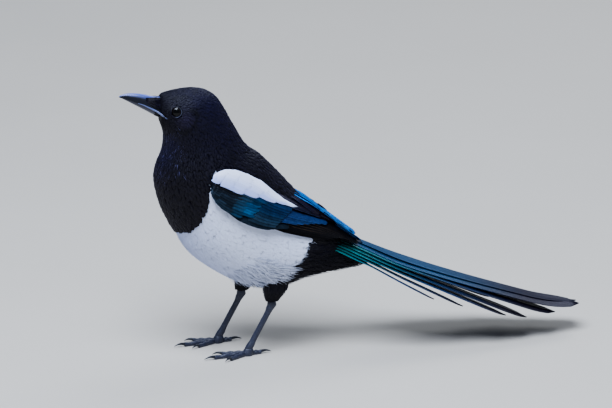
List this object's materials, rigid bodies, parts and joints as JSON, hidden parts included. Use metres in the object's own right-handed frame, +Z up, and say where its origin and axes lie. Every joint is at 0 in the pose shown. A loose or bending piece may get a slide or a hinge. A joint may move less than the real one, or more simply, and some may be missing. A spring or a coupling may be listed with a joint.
{
  "type": "eurasian magpie",
  "caption": "Still life-size eurasian magpie standing with folded wings, head turned level and a long stepped tail held low behind.",
  "frame": {"origin": "on the ground under the middle of the bird's box", "axes": "+Z up; the bird faces -X, its tail points to +X, its left side is towards -Y"},
  "size_m": [0.3906, 0.0838, 0.2285],
  "materials": {
    "plumage_black": "black body plumage with a faint blue-violet sheen",
    "plumage_pied": "white belly plumage under a black breast, back and vent",
    "plumage_wing": "folded wing with white scapulars, green-black coverts and glossy blue secondaries",
    "plumage_tail": "long tail feathers, glossy blue-green with purple-black tips",
    "horn": "black horn of bill and claws",
    "eye": "wet dark brown eye",
    "leg_skin": "blue-black scaly skin of shanks and toes"
  },
  "bodies": {
    "root": {"neck": "plumage_black", "torso": "plumage_pied", "head": "plumage_black", "eye_left": "eye", "eye_right": "eye", "bill_upper": "horn", "bill_lower": "horn", "tail": "plumage_tail", "wing_left": "plumage_wing", "wing_right": "plumage_wing", "thigh_left": "plumage_black", "shank_left": "leg_skin", "foot_left": "leg_skin", "claw_left_middle": "horn", "claw_left_inner": "horn", "claw_left_outer": "horn", "claw_left_hind": "horn", "thigh_right": "plumage_black", "shank_right": "leg_skin", "foot_right": "leg_skin", "claw_right_middle": "horn", "claw_right_inner": "horn", "claw_right_outer": "horn", "claw_right_hind": "horn"}
  },
  "joints": []
}
